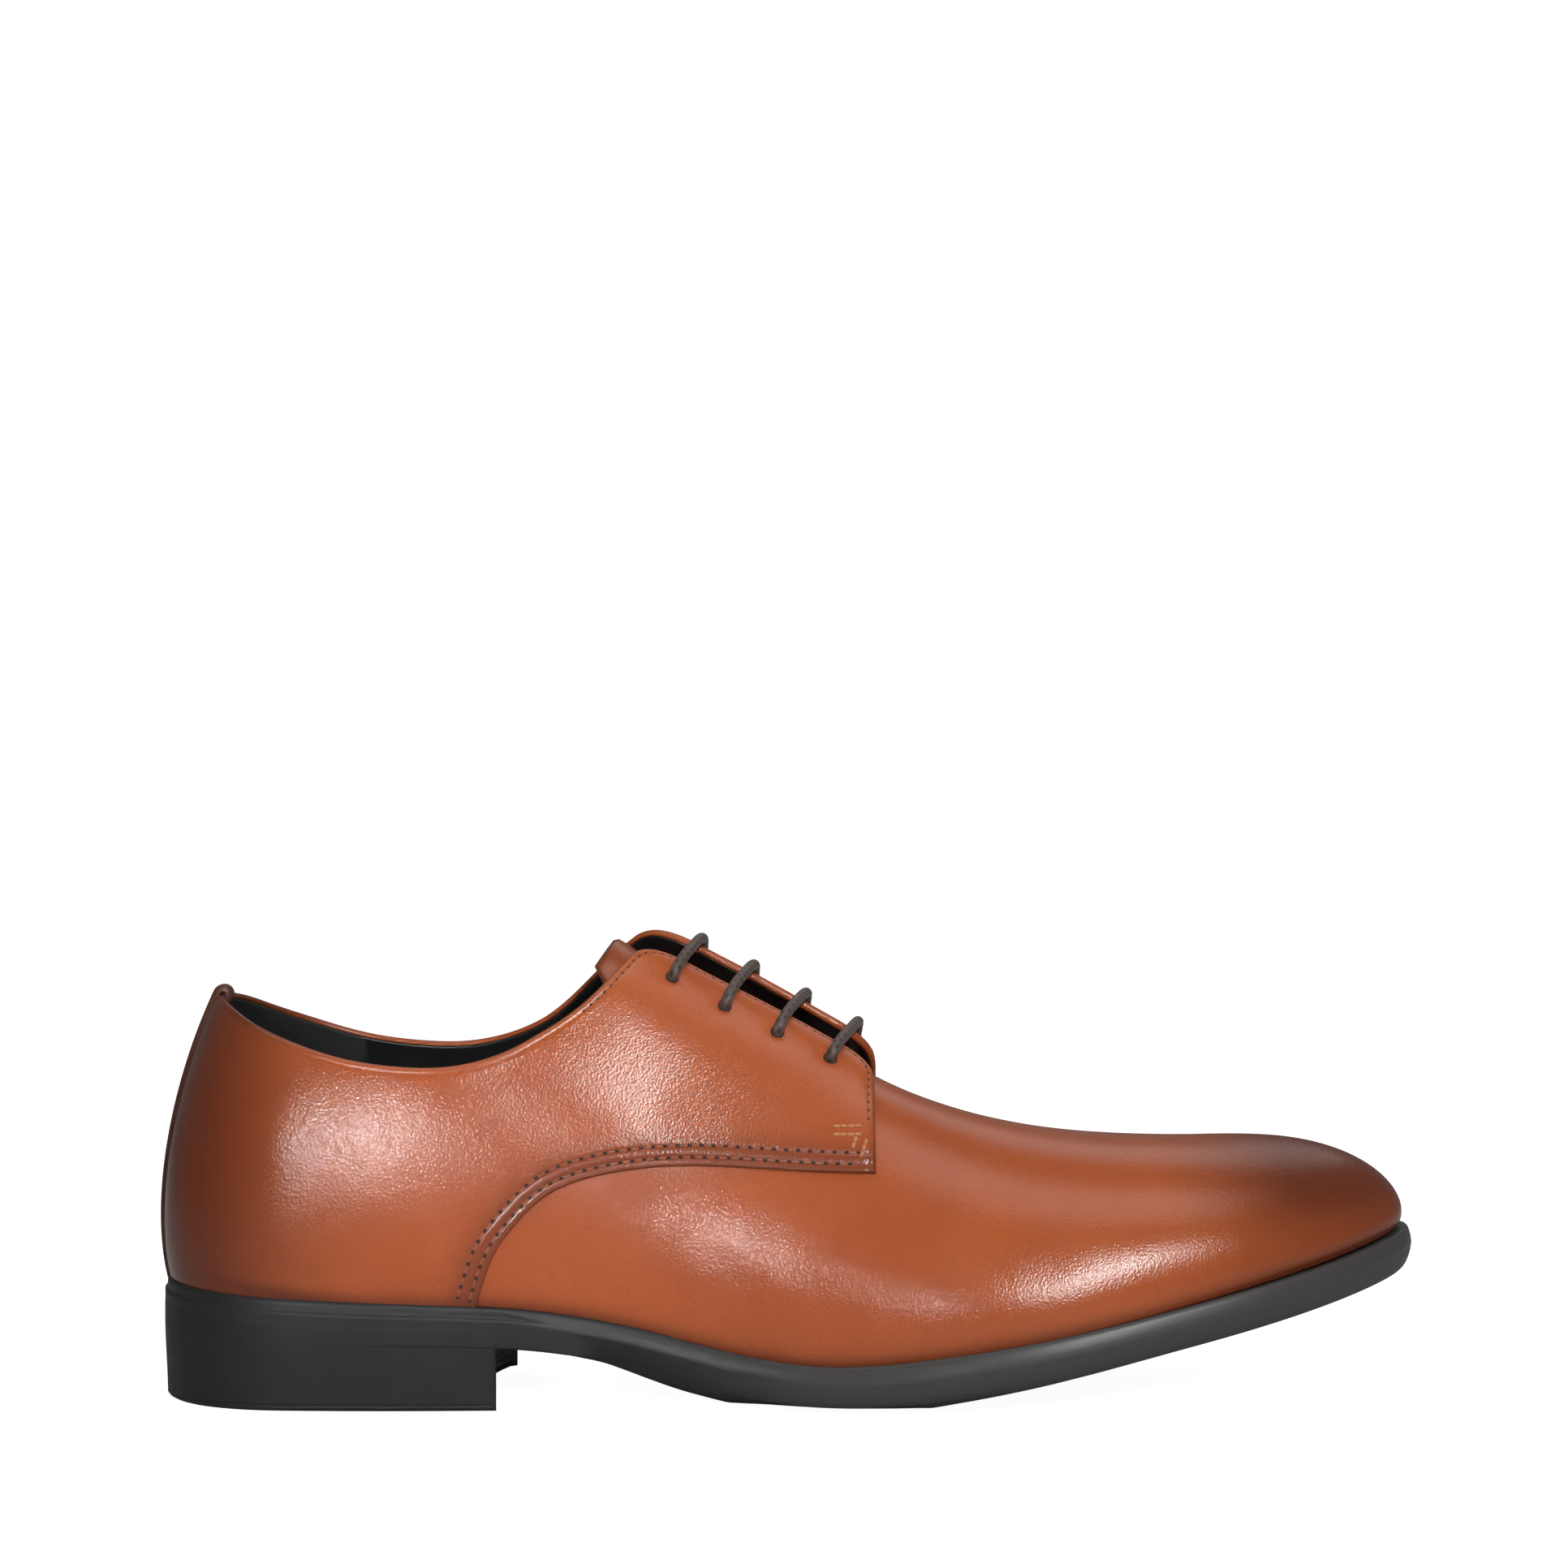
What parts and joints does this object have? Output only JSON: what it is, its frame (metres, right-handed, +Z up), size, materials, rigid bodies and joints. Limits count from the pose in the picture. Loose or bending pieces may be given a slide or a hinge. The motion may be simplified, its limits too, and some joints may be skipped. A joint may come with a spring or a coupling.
{
  "type": "derby shoe",
  "caption": "Right-foot derby shoe: smooth leather upper with open facings over a tongue, straight lace bars, and a moulded sole with toe spring and a block heel.",
  "frame": {"origin": "centre of the overall box in plan, at the level where the heel and the ball stand", "axes": "+X towards the toe, +Y towards the inner side of the foot, +Z up"},
  "size_m": [0.3097, 0.1024, 0.1146],
  "materials": {
    "tan_leather": "smooth burnished calf, low sheen",
    "burnished_leather": "smooth leather burnished dark",
    "black_rubber": "moulded, satin at the edge",
    "black_lining": "smooth black lining leather",
    "lace_cotton": "round waxed cord"
  },
  "bodies": {
    "root": {"upper": "tan_leather", "outsole": "black_rubber", "heel": "black_rubber", "insole": "black_lining", "tongue": "tan_leather", "backstay": "burnished_leather", "lace": "lace_cotton"}
  },
  "joints": []
}
